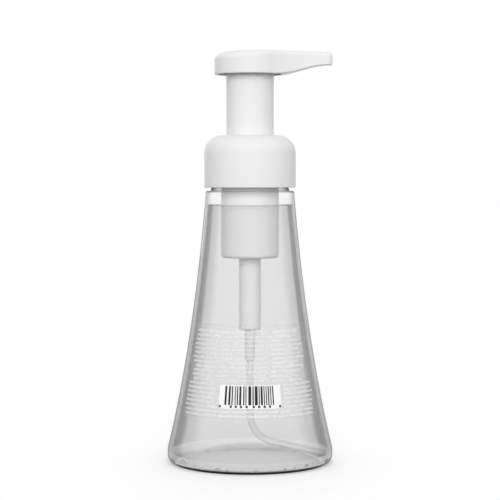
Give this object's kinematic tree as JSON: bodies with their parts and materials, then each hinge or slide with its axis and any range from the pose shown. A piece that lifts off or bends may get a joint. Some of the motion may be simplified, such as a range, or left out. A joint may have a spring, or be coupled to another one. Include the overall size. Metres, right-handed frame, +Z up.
{
  "type": "foaming hand soap bottle",
  "caption": "Clear flared bottle of liquid hand soap with a white screw closure and a press-down foam pump whose head turns and ends in a flat-topped spout.",
  "frame": {"origin": "middle of the foot ring, on the surface the bottle stands on", "axes": "+Z up along the pump's axis, +X along the spout at rest, -Y towards the rear label"},
  "size_m": [0.0794, 0.0794, 0.197],
  "materials": {
    "clear_pet": "clear, glossy blow-moulded bottle wall",
    "liquid_soap": "clear pale liquid",
    "label_film": "clear film with white print blocks",
    "white_moulding": "white moulded plastic, satin",
    "white_sleeve": "white moulded plastic, glossy",
    "natural_moulding": "natural milky moulded plastic",
    "natural_seal": "soft waxy moulded plastic",
    "tube_plastic": "translucent extruded tube",
    "gasket_foam": "soft foamed gasket",
    "silicone": "soft translucent flap",
    "nylon_mesh": "fine woven mesh",
    "steel": "bright stainless wire and balls"
  },
  "bodies": {
    "bottle_body": {"bottle": "clear_pet", "rear_label": "label_film", "soap_fill": "liquid_soap"},
    "pump_body": {"pump_housing": "natural_moulding", "neck_gasket": "gasket_foam", "guide_collar": "white_moulding", "dip_tube": "tube_plastic", "ball_cage": "natural_moulding", "return_spring": "steel"},
    "closure_body": {"closure": "white_moulding"},
    "inlet_valve": {"inlet_ball": "steel"},
    "plunger": {"piston_stem": "natural_moulding", "liquid_piston": "natural_seal", "air_piston": "natural_seal", "air_inlet_flap": "silicone"},
    "outlet_valve": {"outlet_ball": "steel"},
    "head": {"actuator_head": "white_moulding", "stem_sleeve": "white_sleeve", "mesh_cartridge": "natural_moulding", "mesh_screen_lower": "nylon_mesh", "mesh_screen_upper": "nylon_mesh"}
  },
  "joints": [
    {"name": "pump_lift", "type": "slide", "parent": "bottle_body", "child": "pump_body", "axis": [0, 0, 1], "range_m": [0, 0.0051], "deforming": ["soap_fill"]},
    {"name": "closure_turn", "type": "hinge", "parent": "pump_body", "child": "closure_body", "pos_m": [0, 0, 0.14], "axis": [0, 0, 1], "range_deg": [0, 540]},
    {"name": "press", "type": "slide", "parent": "pump_body", "child": "plunger", "axis": [0, 0, -1], "range_m": [0, 0.016], "stiffness_N_per_m": 800, "springref_m": -0.01, "deforming": ["return_spring"]},
    {"name": "head_swivel", "type": "hinge", "parent": "plunger", "child": "head", "pos_m": [0, 0, 0.19], "axis": [0, 0, 1], "continuous": true},
    {"name": "inlet_ball_lift", "type": "slide", "parent": "pump_body", "child": "inlet_valve", "axis": [0, 0, 1], "range_m": [0, 0.0012]},
    {"name": "outlet_ball_lift", "type": "slide", "parent": "plunger", "child": "outlet_valve", "axis": [0, 0, 1], "range_m": [0, 0.0012]}
  ],
  "couplings": [
    {"joint": "closure_turn", "follows": "pump_lift", "rad_per_m": 1848}
  ]
}
